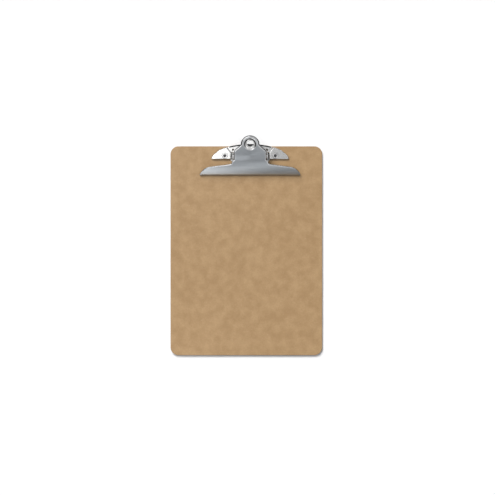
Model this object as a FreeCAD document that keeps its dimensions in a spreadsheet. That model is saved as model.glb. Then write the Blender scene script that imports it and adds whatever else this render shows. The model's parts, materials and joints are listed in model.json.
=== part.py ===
"""Hardboard clipboard with a six inch sprung clip.

Row frame: the board lies on its back on the XY plane. +Z comes out of its front face, +Y points
to the clip end, +X to the right. The origin is the centre of the board's back face.

The clip's pieces are drawn in the clip frame: its origin is on the board's front face, at the
board's top edge, in the clip's centre plane, with the same axis directions as the row frame.
"""
import math
import os
import re

import FreeCAD, Part
import Sketcher

Vector = FreeCAD.Vector
LEVEL = 1e-6         # a length or slope smaller than this is nothing
FACES_UP = 0.3       # height of the normal of a surface that faces up
X_AXIS = Vector(1, 0, 0)
Z_AXIS = Vector(0, 0, 1)
SIDE_VIEW = FreeCAD.Rotation(Vector(1, 1, 1), 120)    # sketch x along +Y, sketch y along +Z

# Driving dimensions, in millimetres. Each becomes a cell of the spreadsheet with that alias.
SIZES = {
    # board
    "board_width": 228.6,
    "board_length": 315.0,
    "board_thickness": 3.2,
    "board_corner_radius": 12.0,
    "board_edge_round": 0.5,
    # where the clip stands on the board
    "clip_offset": 5.6,                # clip's centre plane to the right of the board's centre
    "hinge_setback": 15.0,             # hinge axis in from the board's top edge
    "hinge_height": 11.0,              # hinge axis above the board's front face
    # sheet metal
    "clamp_sheet": 1.0,
    "base_sheet": 1.1,
    "bend_radius": 1.0,                # outer radius where the clamp's rim turns down
    "rim_depth": 3.5,                  # depth of the clamp's turned down rim
    # clamp in side view: reaches from the hinge axis, heights above the board
    "jaw_reach": 29.0,
    "jaw_clearance": 0.15,             # jaw's edge above the bare board
    "nose_height": 3.4,
    "nose_lean": 0.4,
    "nose_radius": 2.6,
    "jaw_knee_reach": 19.5,
    "jaw_knee_height": 12.4,
    "jaw_knee_radius": 26.0,
    "neck_front_reach": 8.5,
    "neck_front_height": 17.2,
    "neck_front_radius": 14.0,
    "neck_back_reach": 5.5,
    "neck_back_height": 18.6,
    "neck_back_radius": 14.0,
    "lever_reach": 32.0,
    "lever_height": 27.1,
    # clamp in plan view: half widths, and setbacks from the board's top edge
    "jaw_front_margin": 1.0,           # the plan runs this far past the jaw's edge
    "jaw_half_width": 77.2,
    "jaw_shoulder_half_width": 71.3,
    "jaw_shoulder_setback": 32.1,
    "jaw_shoulder_radius": 20.0,
    "jaw_root_setback": 26.7,
    "jaw_root_radius": 3.5,
    "collar_half_width": 27.7,
    "collar_radius": 2.3,
    "neck_half_width": 24.6,
    "neck_notch_radius": 0.5,
    "neck_shoulder_setback": 7.6,
    "neck_shoulder_radius": 4.0,
    "lever_waist_overhang": 3.0,       # overhangs are beyond the board's top edge
    "lever_waist_radius": 3.4,
    "lever_half_width": 13.8,
    "lever_side_radius": 8.4,
    "lever_tip_overhang": 16.2,
    "clamp_ear_radius": 5.0,
    # hanging eyelet in the lever
    "eyelet_overhang": 3.1,
    "eyelet_bore_radius": 5.0,
    "eyelet_wall": 0.8,
    "eyelet_clearance": 0.05,
    "eyelet_rim_width": 2.3,
    "eyelet_rim_height": 1.5,
    "eyelet_rim_round": 1.0,
    "eyelet_clinch_width": 2.4,
    "eyelet_clinch_round": 0.35,
    "dish_radius": 9.4,
    "dish_floor_radius": 7.9,
    "dish_depth": 0.9,
    # base plate
    "ear_gap": 0.3,                    # clamp's ear to base plate's ear, sideways
    "roundness": 0.99,                 # corner radius over half width, where a strip ends round
    "cut_margin": 1.0,                 # how far a cutting block reaches past what it cuts
    "notch_gap": 0.3,                  # base plate's ear to the clamp's collar, fore and aft
    "base_ear_radius": 5.7,
    "apron_front_setback": 22.6,
    "apron_half_width": 28.9,
    "apron_corner_setback": 9.3,
    "apron_tail_half_width": 34.0,
    "apron_tail_setback": 1.4,
    "lip_half_width": 31.6,
    "lip_setback": 0.3,
    "lip_bulge": 6.7,
    "lip_radius": 134.0,
    "lip_height": 3.0,
    "window_inner_half_width": 12.5,
    "tray_height": 2.9,
    "tray_round": 1.8,
    "tray_corner_radius": 2.2,
    "tray_inner_half_width": 28.4,
    "tray_front_setback": 20.0,
    "tray_inner_setback": 9.0,
    "tray_rear_half_width": 34.8,
    "tray_rear_setback": 0.9,
    "tray_shoulder_half_width": 46.4,
    "tray_shoulder_setback": 4.8,
    "tray_shoulder_radius": 9.0,
    "tray_elbow_half_width": 56.8,
    "tray_elbow_setback": 13.4,
    "tray_elbow_radius": 7.0,
    "tray_tip_half_width": 59.8,
    "arch_half_width": 4.5,
    "arch_height": 1.7,
    "arch_spacing": 50.6,              # arch's middle from the clip's centre plane
    "arch_depth": 3.0,
    "relief_hole_radius": 1.6,
    "relief_hole_half_width": 25.6,
    "relief_hole_setback": 5.2,
    "relief_slit_width": 0.9,
    "relief_slit_setback": 8.7,
    # rivets
    "rivet_spacing": 76.2,
    "rivet_setback": 14.2,
    "rivet_shank_radius": 2.9,
    "rivet_hollow_radius": 2.2,
    "rivet_web": 0.7,                  # solid metal between the hollow and the head
    "rivet_head_radius": 5.0,
    "rivet_head_height": 1.1,
    "rivet_head_round": 0.6,
    "rivet_sunk": 0.15,                # head below the board's back face
    "rivet_roll_width": 1.3,
    "rivet_roll_height": 1.1,
    "rivet_roll_round": 0.7,
    "rivet_clearance": 0.05,
    "dimple_floor_radius": 4.4,
    "dimple_top_radius": 4.7,
    # hinge pin
    "pin_radius": 2.0,
    "pin_clearance": 0.06,
    "pin_head_radius": 3.0,
    "pin_head_height": 1.1,
    "pin_head_round": 0.8,
    # torsion spring
    "spring_wire": 1.8,
    "spring_mean_radius": 3.45,
    "spring_pitch": 1.84,
    "spring_full_turns": 6.0,
    "spring_outer_half_width": 22.0,
    "spring_foot_reach": 10.6,
    "spring_bridge_reach": 9.0,
    "spring_seat_gap": 0.05,
    "spring_swelling": 0.02,           # of the wire at a sharp bend or a sheared end
}

# Sizes that follow from the driving ones. Each is a formula cell with that alias.
FOLLOWING = {
    "ear_side": "neck_half_width + ear_gap",
    "pin_side": "ear_side + base_sheet",
    "collar_setback": "hinge_setback + base_ear_radius + notch_gap",
    "lever_slope": "atan((lever_height - neck_back_height) / (lever_reach - neck_back_reach))",
    "eyelet_height": "neck_back_height"
                     " + (hinge_setback + eyelet_overhang - neck_back_reach) * tan(lever_slope)",
    "foot_drop": "hinge_height - base_sheet - spring_seat_gap - spring_wire / 2",
    "bridge_rise": "neck_back_height - hinge_height"
                   " + (spring_bridge_reach - neck_back_reach) * tan(lever_slope)"
                   " - (clamp_sheet + spring_seat_gap + spring_wire / 2) / cos(lever_slope)",
    "foot_distance": "sqrt(spring_foot_reach ^ 2 + foot_drop ^ 2)",
    "bridge_distance": "sqrt(spring_bridge_reach ^ 2 + bridge_rise ^ 2)",
    "foot_leg": "sqrt(foot_distance ^ 2 - spring_mean_radius ^ 2)",
    "bridge_leg": "sqrt(bridge_distance ^ 2 - spring_mean_radius ^ 2)",
    "foot_angle": "-(atan(foot_drop / spring_foot_reach)"
                  " + acos(spring_mean_radius / foot_distance))",
    "bridge_angle": "atan(bridge_rise / spring_bridge_reach)"
                    " + acos(spring_mean_radius / bridge_distance)",
    "spring_turns": "spring_full_turns + (foot_angle - bridge_angle + 360 deg) / 360 deg",
    "spring_inner_half_width": "spring_outer_half_width - spring_pitch * spring_turns",
}


def new_document():
    """The document, with every size as an aliased cell of its spreadsheet."""
    doc = FreeCAD.newDocument("clipboard")
    sheet = doc.addObject("Spreadsheet::Sheet", "Sizes")
    cells = [(name, str(size)) for name, size in SIZES.items()]
    cells += [(name, "=" + formula) for name, formula in FOLLOWING.items()]
    for row, (name, content) in enumerate(cells, start=1):
        sheet.set(f"A{row}", name)
        sheet.setAlias(f"B{row}", name)
        sheet.set(f"B{row}", content)
    doc.recompute()
    return doc


def in_sheet(expression):
    """The expression with each size's name pointing at its cell."""
    def cell(word):
        name = word.group()
        return f"Sizes.{name}" if name in SIZES or name in FOLLOWING else name
    return re.sub(r"[a-z_]+", cell, expression)


def value(doc, expression):
    """The expression's present value, in millimetres, degrees or plain numbers."""
    return float(doc.Sizes.evalExpression(in_sheet(expression)))


def bind(obj, **properties):
    """Bind properties to expressions; a double underscore in a name stands for a dot."""
    for name, expression in properties.items():
        obj.setExpression(name.replace("__", "."), in_sheet(expression))


def place(obj, x="0", y="0", z="0"):
    """Bind an object's position to expressions."""
    bind(obj, Placement__Base__x=x, Placement__Base__y=y, Placement__Base__z=z)


def place_in_clip(obj, x="0", y="0", z="0"):
    """Put a piece whose own origin is at x, y, z of the clip frame where it belongs."""
    place(obj, f"clip_offset + {x}", f"board_length / 2 + {y}", f"board_thickness + {z}")


def turn_about_x(obj, angle):
    """Turn an object about the X axis through its own origin."""
    obj.Placement = FreeCAD.Placement(obj.Placement.Base, FreeCAD.Rotation(X_AXIS, 1))
    bind(obj, Placement__Rotation__Angle=angle)


# Sketches

def loose_sketch(doc, name, side_view=False):
    """A sketch outside any body: in plan, or in side view with x along +Y and y along +Z."""
    sketch = doc.addObject("Sketcher::SketchObject", name)
    if side_view:
        sketch.Placement = FreeCAD.Placement(Vector(), SIDE_VIEW)
    return sketch


def body_sketch(body, name, plane):
    """A sketch attached to one of its body's origin planes."""
    sketch = body.newObject("Sketcher::SketchObject", name)
    origin_plane = next(f for f in body.Origin.OriginFeatures if f.Role == plane)
    sketch.AttachmentSupport = [(origin_plane, "")]
    sketch.MapMode = "FlatFace"
    return sketch


def constrain(sketch, kind, elements, expression):
    """Add a dimension to a sketch and bind it to an expression."""
    size = value(sketch.Document, expression)
    index = sketch.addConstraint(Sketcher.Constraint(kind, *elements, size))
    sketch.setExpression(f"Constraints[{index}]", in_sheet(expression))


def pin_point(sketch, element, x, y):
    """Hold a sketch point at x, y from the sketch's origin."""
    constrain(sketch, "DistanceX", (-1, 1, *element), x)
    constrain(sketch, "DistanceY", (-1, 1, *element), y)


def circle(sketch, x, y, radius):
    """A circle with its centre and radius bound to expressions."""
    doc = sketch.Document
    centre = Vector(value(doc, x), value(doc, y), 0)
    index = sketch.addGeometry(Part.Circle(centre, Z_AXIS, value(doc, radius)), False)
    pin_point(sketch, (index, 3), x, y)
    constrain(sketch, "Radius", (index,), radius)


def corner_arc(before, corner, after, radius):
    """The arc of that radius in a corner, its ends along the path, and whether it turns left."""
    back = (before - corner).normalize()
    ahead = (after - corner).normalize()
    half_angle = back.getAngle(ahead) / 2
    reach = radius / math.tan(half_angle)
    centre = corner + (back + ahead).normalize() * (radius / math.sin(half_angle))
    ends = (corner + back * reach, corner + ahead * reach)
    turns_left = back.cross(ahead).z < 0
    start, stop = ends if turns_left else ends[::-1]
    angles = [math.atan2(end.y - centre.y, end.x - centre.x) for end in (start, stop)]
    arc = Part.ArcOfCircle(Part.Circle(centre, Z_AXIS, radius), *angles)
    return arc, ends, turns_left


def outline(sketch, corners, closed=True):
    """Straight lines from corner to corner, with a tangent arc in each corner that has a radius.

    A corner is (x, y) or (x, y, radius), each of them an expression.
    """
    doc = sketch.Document
    count = len(corners)
    points = [Vector(value(doc, corner[0]), value(doc, corner[1]), 0) for corner in corners]
    arcs = {}
    for i, corner in enumerate(corners):
        if len(corner) == 3:
            neighbours = points[i - 1], points[i], points[(i + 1) % count]
            arcs[i] = corner_arc(*neighbours, value(doc, corner[2]))
    for i in range(count if closed else count - 1):
        after = (i + 1) % count
        start = arcs[i][1][1] if i in arcs else points[i]
        stop = arcs[after][1][0] if after in arcs else points[after]
        sketch.addGeometry(Part.LineSegment(start, stop), False)
    for i, corner in enumerate(corners):
        line_in, line_out = (i - 1) % count, i
        if i in arcs:
            round_corner(sketch, line_in, line_out, corner, points[i], arcs[i])
        elif closed or 0 < i < count - 1:
            sketch.addConstraint(Sketcher.Constraint("Coincident", line_in, 2, line_out, 1))
            pin_point(sketch, (line_out, 1), *corner)
        else:
            pin_point(sketch, (line_out, 1) if i == 0 else (line_in, 2), *corner)


def round_corner(sketch, line_in, line_out, corner, point, arc):
    """Join two lines with an arc, and hold the corner where they would have met."""
    shape, _, turns_left = arc
    first, last = (1, 2) if turns_left else (2, 1)
    arc_index = sketch.addGeometry(shape, False)
    point_index = sketch.addGeometry(Part.Point(point), True)
    sketch.addConstraint([
        Sketcher.Constraint("Tangent", line_in, 2, arc_index, first),
        Sketcher.Constraint("Tangent", arc_index, last, line_out, 1),
        Sketcher.Constraint("PointOnObject", point_index, 1, line_in),
        Sketcher.Constraint("PointOnObject", point_index, 1, line_out),
    ])
    pin_point(sketch, (point_index, 1), corner[0], corner[1])
    constrain(sketch, "Radius", (arc_index,), corner[2])


def both_sides(corners):
    """A right-hand run of corners followed by its mirror image, back to the start."""
    mirrored = [(f"-({corner[0]})", *corner[1:]) for corner in reversed(corners)]
    return corners + [corner for corner in mirrored if corner[0] != "-(0)"]


# Solids

def extrude(doc, name, profile, length, direction=Z_AXIS, symmetric=False):
    solid = doc.addObject("Part::Extrusion", name)
    solid.Base = profile
    solid.DirMode = "Custom"
    solid.Dir = direction
    solid.Solid = True
    solid.Symmetric = symmetric
    bind(solid, LengthFwd=length)
    return solid


def inset(doc, name, source, distance):
    """A closed outline moved inwards."""
    copy = doc.addObject("Part::Offset2D", name)
    copy.Source = source
    copy.Mode = "Pipe"
    bind(copy, Value=f"-({distance})")
    return copy


def beneath(doc, name, source, distance, fill=False):
    """An open line's copy on its underside, or the band between the line and that copy."""
    copy = doc.addObject("Part::Offset2D", name)
    copy.Source = source
    copy.Mode = "Skin"
    copy.Fill = fill
    bind(copy, Value=distance)
    return copy


def combine(doc, kind, name, first, second):
    """A Part::Cut or Part::Common of two solids."""
    result = doc.addObject(kind, name)
    result.Base = first
    result.Tool = second
    return result


def fuse(doc, name, solids):
    result = doc.addObject("Part::MultiFuse", name)
    result.Shapes = solids
    return result


def mirror(doc, name, source):
    """The source's mirror image across the clip's centre plane."""
    image = doc.addObject("Part::Mirroring", name)
    image.Source = source
    image.Normal = X_AXIS
    return image


def box(doc, name, low, high):
    """A box between two corners, each three expressions."""
    solid = doc.addObject("Part::Box", name)
    length, width, height = (f"({top}) - ({bottom})" for bottom, top in zip(low, high))
    bind(solid, Length=length, Width=width, Height=height)
    place(solid, *low)
    return solid


def cylinder(doc, name, radius, height):
    solid = doc.addObject("Part::Cylinder", name)
    bind(solid, Radius=radius, Height=height)
    return solid


def cone(doc, name, low_radius, high_radius, height):
    solid = doc.addObject("Part::Cone", name)
    bind(solid, Radius1=low_radius, Radius2=high_radius, Height=height)
    return solid


def height_of_normal(face, point):
    """The upward part of a face's unit normal at a point."""
    return face.normalAt(*face.Surface.parameter(point)).z


def upper_rim(shape):
    """Numbers of the edges where an upright wall meets a surface that faces up."""
    numbers = []
    for number, edge in enumerate(shape.Edges, start=1):
        middle = edge.valueAt((edge.FirstParameter + edge.LastParameter) / 2)
        faces = shape.ancestorsOfType(edge, Part.Face)
        heights = sorted(height_of_normal(face, middle) for face in faces)
        if len(heights) == 2 and abs(heights[0]) < LEVEL and heights[1] > FACES_UP:
            numbers.append(number)
    return numbers


def round_upper_rim(doc, name, solid, radius):
    """The solid with its upper rim rounded."""
    doc.recompute()
    result = doc.addObject("Part::Fillet", name)
    result.Base = solid
    size = value(doc, radius)
    result.Edges = [(number, size, size) for number in upper_rim(solid.Shape)]
    return result


def finished_body(doc, name):
    body = doc.addObject("PartDesign::Body", name)
    body.Label = name
    return body


def pad(body, name, sketch, length):
    feature = body.newObject("PartDesign::Pad", name)
    feature.Profile = sketch
    bind(feature, Length=length)
    return feature


def pocket(body, name, sketch, depth=None):
    """A pocket into +Z from the sketch: to a depth, or through everything."""
    feature = body.newObject("PartDesign::Pocket", name)
    feature.Profile = sketch
    feature.Reversed = True
    if depth is None:
        feature.Type = "ThroughAll"
    else:
        bind(feature, Length=depth)
    return feature


def revolve(body, name, sketch, axis):
    feature = body.newObject("PartDesign::Revolution", name)
    feature.Profile = sketch
    feature.ReferenceAxis = (sketch, [axis])
    feature.Angle = 360
    return feature


# Sub-parts

def build_board(doc):
    """Hardboard sheet with round corners, two rivet holes and a sunk seat for each rivet head."""
    body = finished_body(doc, "board")
    plan = body_sketch(body, "board_plan", "XY_Plane")
    side, end, corner = "board_width / 2", "board_length / 2", "board_corner_radius"
    outline(plan, both_sides([(side, f"-{end}", corner), (side, end, corner)]))
    sheet = pad(body, "board_sheet", plan, "board_thickness")
    doc.recompute()
    edges = [f"Edge{number}" for number, edge in enumerate(sheet.Shape.Edges, start=1)
             if edge.BoundBox.ZLength < LEVEL]
    rounded = body.newObject("PartDesign::Fillet", "board_rounded")
    rounded.Base = (sheet, edges)
    bind(rounded, Radius="board_edge_round")
    holes = body_sketch(body, "board_rivet_holes", "XY_Plane")
    seats = body_sketch(body, "board_rivet_seats", "XY_Plane")
    for side in ("-", ""):
        x = f"clip_offset + {side}rivet_spacing / 2"
        y = "board_length / 2 - rivet_setback"
        circle(holes, x, y, "rivet_shank_radius + rivet_clearance")
        circle(seats, x, y, "rivet_head_radius + rivet_clearance")
    pocket(body, "board_holes", holes)
    pocket(body, "board_seats", seats, "rivet_sunk + rivet_head_height")
    return body


def wing_tray(doc):
    """Right-hand wing of the base plate: a shallow tray, open below, with a rivet dimple."""
    plan = loose_sketch(doc, "tray_plan")
    outline(plan, [
        ("tray_inner_half_width", "-tray_front_setback", "tray_corner_radius"),
        ("tray_tip_half_width", "-tray_front_setback", "tray_corner_radius"),
        ("tray_elbow_half_width", "-tray_elbow_setback", "tray_elbow_radius"),
        ("tray_shoulder_half_width", "-tray_shoulder_setback", "tray_shoulder_radius"),
        ("tray_rear_half_width", "-tray_rear_setback", "tray_corner_radius"),
        ("tray_inner_half_width", "-tray_inner_setback", "tray_corner_radius"),
    ])
    block = extrude(doc, "tray_block", plan, "tray_height")
    outside = round_upper_rim(doc, "tray_outside", block, "tray_round")
    inner_plan = inset(doc, "tray_inner_plan", plan, "base_sheet")
    core = extrude(doc, "tray_core", inner_plan, "tray_height - base_sheet")
    inside = round_upper_rim(doc, "tray_inside", core, "tray_round - base_sheet")
    tray = combine(doc, "Part::Cut", "tray_shell", outside, inside)
    x, y = "rivet_spacing / 2", "-rivet_setback"
    back = cone(doc, "dimple_back", "dimple_floor_radius + base_sheet / 2",
                "dimple_top_radius + base_sheet / 2", "tray_height - base_sheet / 2")
    place(back, x, y)
    front = cone(doc, "dimple_front", "dimple_floor_radius", "dimple_top_radius",
                 "tray_height - base_sheet")
    place(front, x, y, "base_sheet")
    dimpled = combine(doc, "Part::Cut", "tray_dimpled",
                      fuse(doc, "tray_with_dimple", [tray, back]), front)
    arch = cylinder(doc, "tray_arch",
                    "(arch_half_width ^ 2 + arch_height ^ 2) / (2 * arch_height)", "arch_depth")
    arch.Placement = FreeCAD.Placement(Vector(), FreeCAD.Rotation(X_AXIS, 90))
    place(arch, "arch_spacing", "arch_depth - cut_margin - tray_front_setback",
          "(arch_height ^ 2 - arch_half_width ^ 2) / (2 * arch_height)")
    return combine(doc, "Part::Cut", "tray_right", dimpled, arch)


def build_base_plate(doc):
    """Base plate: a flat apron with an upturned rear lip, two upright ears and two wing trays."""
    plan = loose_sketch(doc, "apron_plan")
    outline(plan, both_sides([
        ("apron_half_width", "-apron_front_setback", "tray_corner_radius"),
        ("apron_half_width", "-apron_corner_setback"),
        ("apron_tail_half_width", "-apron_tail_setback"),
        ("lip_half_width", "-lip_setback"),
        ("0", "lip_bulge", "lip_radius"),
    ]))
    apron = extrude(doc, "apron", plan, "base_sheet")
    lip_block = extrude(doc, "lip_block", plan, "lip_height")
    lip_core = extrude(doc, "lip_core", inset(doc, "lip_inner_plan", plan, "base_sheet"),
                       "lip_height")
    rim = combine(doc, "Part::Cut", "lip_rim", lip_block, lip_core)
    lip_reach = box(doc, "lip_reach", ("-lip_half_width", "-base_sheet - lip_setback", "0"),
                    ("lip_half_width", "lip_bulge", "lip_height"))
    lip = combine(doc, "Part::Common", "lip", rim, lip_reach)

    ear_view = loose_sketch(doc, "base_ear_view", side_view=True)
    top = "hinge_height + base_ear_radius"
    front, back = "-hinge_setback - base_ear_radius", "-hinge_setback + base_ear_radius"
    ear_round = "base_ear_radius * roundness"
    outline(ear_view, [(front, "0"), (back, "0"), (back, top, ear_round), (front, top, ear_round)])
    ear_right = extrude(doc, "base_ear_right", ear_view, "base_sheet", X_AXIS)
    place(ear_right, "ear_side")
    ear_left = mirror(doc, "base_ear_left", ear_right)
    tray_right = wing_tray(doc)
    tray_left = mirror(doc, "tray_left", tray_right)
    blank = fuse(doc, "base_blank", [apron, lip, ear_right, ear_left, tray_right, tray_left])
    base_plate = combine(doc, "Part::Cut", "base_plate", blank, base_plate_holes(doc))
    place_in_clip(base_plate)
    return base_plate


def base_plate_holes(doc):
    """Everything that is pierced through the base plate."""
    pin_hole = pin_bore(doc, "base_pin_hole")
    rivet_hole = cylinder(doc, "base_rivet_hole", "rivet_shank_radius + rivet_clearance",
                          "tray_height")
    place(rivet_hole, "rivet_spacing / 2", "-rivet_setback")
    window = box(doc, "base_window",
                 ("window_inner_half_width", "-hinge_setback - base_ear_radius", "0"),
                 ("ear_side", "-hinge_setback + base_ear_radius", "base_sheet"))
    slit_front = "-relief_slit_setback - relief_slit_width / 2"
    slit = box(doc, "base_relief_slit", ("ear_side", slit_front, "0"),
               ("tray_inner_half_width", f"{slit_front} + relief_slit_width", "base_sheet"))
    relief_hole = cylinder(doc, "base_relief_hole", "relief_hole_radius", "base_sheet")
    place(relief_hole, "relief_hole_half_width", "-relief_hole_setback")
    right = fuse(doc, "base_holes_right", [rivet_hole, window, slit, relief_hole])
    left = mirror(doc, "base_holes_left", right)
    return fuse(doc, "base_holes", [pin_hole, right, left])


def clamp_shell(doc):
    """Jaw, neck and lever as one bent sheet whose rim is turned down all the way round."""
    line = loose_sketch(doc, "clamp_side_line", side_view=True)
    outline(line, [
        ("-hinge_setback - jaw_reach", "jaw_clearance"),
        ("-hinge_setback - jaw_reach + nose_lean", "nose_height", "nose_radius"),
        ("-hinge_setback - jaw_knee_reach", "jaw_knee_height", "jaw_knee_radius"),
        ("-hinge_setback - neck_front_reach", "neck_front_height", "neck_front_radius"),
        ("-hinge_setback + neck_back_reach", "neck_back_height", "neck_back_radius"),
        ("-hinge_setback + lever_reach", "lever_height"),
    ], closed=False)
    plan = loose_sketch(doc, "clamp_plan")
    tip_cut = "lever_half_width * tan(22.5 deg)"
    outline(plan, both_sides([
        ("jaw_half_width", "-hinge_setback - jaw_reach - jaw_front_margin"),
        ("jaw_shoulder_half_width", "-jaw_shoulder_setback", "jaw_shoulder_radius"),
        ("collar_half_width", "-jaw_root_setback", "jaw_root_radius"),
        ("collar_half_width", "-collar_setback", "collar_radius"),
        ("neck_half_width", "-collar_setback", "neck_notch_radius"),
        ("neck_half_width", "-neck_shoulder_setback", "neck_shoulder_radius"),
        ("lever_half_width", "lever_waist_overhang", "lever_waist_radius"),
        ("lever_half_width", f"lever_tip_overhang - lever_half_width + {tip_cut}",
         "lever_side_radius"),
        (tip_cut, "lever_tip_overhang", "lever_half_width * roundness"),
    ]))
    width = "2 * (jaw_half_width + cut_margin)"
    top = "lever_height + clamp_sheet"
    outer_band = extrude(doc, "clamp_outer_band",
                         beneath(doc, "clamp_outer_view", line, "rim_depth", fill=True),
                         width, X_AXIS, symmetric=True)
    outer_prism = extrude(doc, "clamp_outer_prism", plan, top)
    place(outer_prism, z="jaw_clearance")
    outer_block = combine(doc, "Part::Common", "clamp_outer_block", outer_band, outer_prism)
    outside = round_upper_rim(doc, "clamp_outside", outer_block, "bend_radius")
    inner_line = beneath(doc, "clamp_inner_line", line, "clamp_sheet")
    inner_band = extrude(doc, "clamp_inner_band",
                         beneath(doc, "clamp_inner_view", inner_line, "rim_depth", fill=True),
                         width, X_AXIS, symmetric=True)
    inner_plan = inset(doc, "clamp_inner_plan", plan, "clamp_sheet")
    inner_prism = extrude(doc, "clamp_inner_prism", inner_plan, top)
    inner_block = combine(doc, "Part::Common", "clamp_inner_block", inner_band, inner_prism)
    return combine(doc, "Part::Cut", "clamp_shell", outside, inner_block)


def build_clamp_plate(doc):
    """Clamp: the bent shell, its two ears on the pin, and a dished seat for the eyelet."""
    ear_view = loose_sketch(doc, "clamp_ear_view", side_view=True)
    front, back = "-hinge_setback - clamp_ear_radius", "-hinge_setback + clamp_ear_radius"
    bottom = "hinge_height - clamp_ear_radius"
    ear_round = "clamp_ear_radius * roundness"
    outline(ear_view, [
        (front, bottom, ear_round),
        (back, bottom, ear_round),
        (back, "neck_front_height - clamp_sheet / 2"),
        (front, "neck_front_height - clamp_sheet / 2"),
    ])
    ear_right = extrude(doc, "clamp_ear_right", ear_view, "clamp_sheet", X_AXIS)
    place(ear_right, "neck_half_width - clamp_sheet")
    ear_left = mirror(doc, "clamp_ear_left", ear_right)
    dish_back = cone(doc, "dish_back", "dish_floor_radius + clamp_sheet / 2",
                     "dish_radius + clamp_sheet / 2", "dish_depth + clamp_sheet / 2")
    blank = fuse(doc, "clamp_blank",
                 [clamp_shell(doc), ear_right, ear_left,
                  on_lever(dish_back, "-dish_depth - clamp_sheet")])
    dish_front = cone(doc, "dish_front", "dish_floor_radius", "dish_radius", "dish_depth")
    eyelet_hole = cylinder(doc, "clamp_eyelet_hole",
                           "eyelet_bore_radius + eyelet_wall + eyelet_clearance",
                           "2 * (dish_depth + clamp_sheet)")
    pin_hole = pin_bore(doc, "clamp_pin_hole")
    holes = fuse(doc, "clamp_holes",
                 [on_lever(dish_front, "-dish_depth"),
                  on_lever(eyelet_hole, "-2 * (dish_depth + clamp_sheet) + clamp_sheet"),
                  pin_hole])
    clamp_plate = combine(doc, "Part::Cut", "clamp_plate", blank, holes)
    place_in_clip(clamp_plate)
    return clamp_plate


def on_lever(solid, height):
    """Stand a solid on the lever's slope, on the eyelet's axis, at a height above its surface."""
    turn_about_x(solid, "lever_slope")
    place(solid, "0", f"eyelet_overhang - ({height}) * sin(lever_slope)",
          f"eyelet_height + ({height}) * cos(lever_slope)")
    return solid


def pin_bore(doc, name):
    """A cylinder along the hinge axis, through everything, with the pin's running clearance."""
    bore = cylinder(doc, name, "pin_radius + pin_clearance", "4 * pin_side")
    bore.Placement = FreeCAD.Placement(Vector(), FreeCAD.Rotation(Vector(0, 1, 0), 90))
    place(bore, "-2 * pin_side", "-hinge_setback", "hinge_height")
    return bore


def build_hanging_eyelet(doc):
    """Eyelet: a barrel with a rolled rim in the lever's dish and a clinch under the sheet."""
    body = finished_body(doc, "hanging_eyelet")
    profile = body_sketch(body, "eyelet_profile", "XZ_Plane")
    bore, barrel = "eyelet_bore_radius", "eyelet_bore_radius + eyelet_wall"
    rim = "eyelet_bore_radius + eyelet_rim_width"
    clinch = "eyelet_bore_radius + eyelet_clinch_width"
    floor, under = "-dish_depth", "-dish_depth - clamp_sheet"
    top, bottom = "eyelet_rim_height - dish_depth", f"{under} - eyelet_wall"
    outline(profile, [
        (bore, bottom),
        (clinch, bottom, "eyelet_clinch_round"),
        (clinch, under),
        (barrel, under),
        (barrel, floor),
        (rim, floor),
        (rim, top, "eyelet_rim_round"),
        (bore, top, "eyelet_rim_round"),
    ])
    revolve(body, "eyelet_turned", profile, "V_Axis")
    turn_about_x(body, "lever_slope")
    place_in_clip(body, "0", "eyelet_overhang", "eyelet_height")
    return body


def build_rivet(doc, name, side):
    """Tubular rivet: head sunk in the board's back, rolled end in the base plate's dimple."""
    body = finished_body(doc, name)
    profile = body_sketch(body, f"{name}_profile", "XZ_Plane")
    back = "rivet_sunk - board_thickness"
    shoulder = f"{back} + rivet_head_height"
    hollow_floor = f"{shoulder} + rivet_web"
    roll_top = "base_sheet + rivet_roll_height"
    roll = "rivet_shank_radius + rivet_roll_width"
    outline(profile, [
        ("0", back),
        ("rivet_head_radius", back, "rivet_head_round"),
        ("rivet_head_radius", shoulder),
        ("rivet_shank_radius", shoulder),
        ("rivet_shank_radius", "base_sheet"),
        (roll, "base_sheet"),
        (roll, roll_top, "rivet_roll_round"),
        ("rivet_hollow_radius", roll_top, "rivet_roll_round"),
        ("rivet_hollow_radius", hollow_floor),
        ("0", hollow_floor),
    ])
    revolve(body, f"{name}_turned", profile, "V_Axis")
    place_in_clip(body, f"{side} * rivet_spacing / 2", "-rivet_setback")
    return body


def build_hinge_pin(doc):
    """Hinge pin: a rod through all four ears, headed against the base plate's ears."""
    body = finished_body(doc, "hinge_pin")
    profile = body_sketch(body, "pin_profile", "XY_Plane")
    end = "pin_side + pin_head_height"
    outline(profile, [
        (f"-({end})", "0"),
        (end, "0"),
        (end, "pin_head_radius", "pin_head_round"),
        ("pin_side", "pin_head_radius"),
        ("pin_side", "pin_radius"),
        ("-(pin_side)", "pin_radius"),
        ("-(pin_side)", "pin_head_radius"),
        (f"-({end})", "pin_head_radius", "pin_head_round"),
    ])
    revolve(body, "pin_turned", profile, "H_Axis")
    place_in_clip(body, "0", "-hinge_setback", "hinge_height")
    return body


def wire_leg(doc, name, x, angle, turn, length):
    """A straight leg of spring wire that leaves the coil on the tangent at an angle."""
    leg = cylinder(doc, name, "spring_wire / 2", length)
    turn_about_x(leg, turn)
    place(leg, x, f"spring_mean_radius * cos({angle})", f"spring_mean_radius * sin({angle})")
    return leg


def wire_knob(doc, name, x, y, z):
    """The round corner or tip of the spring's wire, a little swollen by the bending."""
    knob = doc.addObject("Part::Sphere", name)
    bind(knob, Radius="spring_wire / 2 + spring_swelling")
    place(knob, x, y, z)
    return knob


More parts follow.
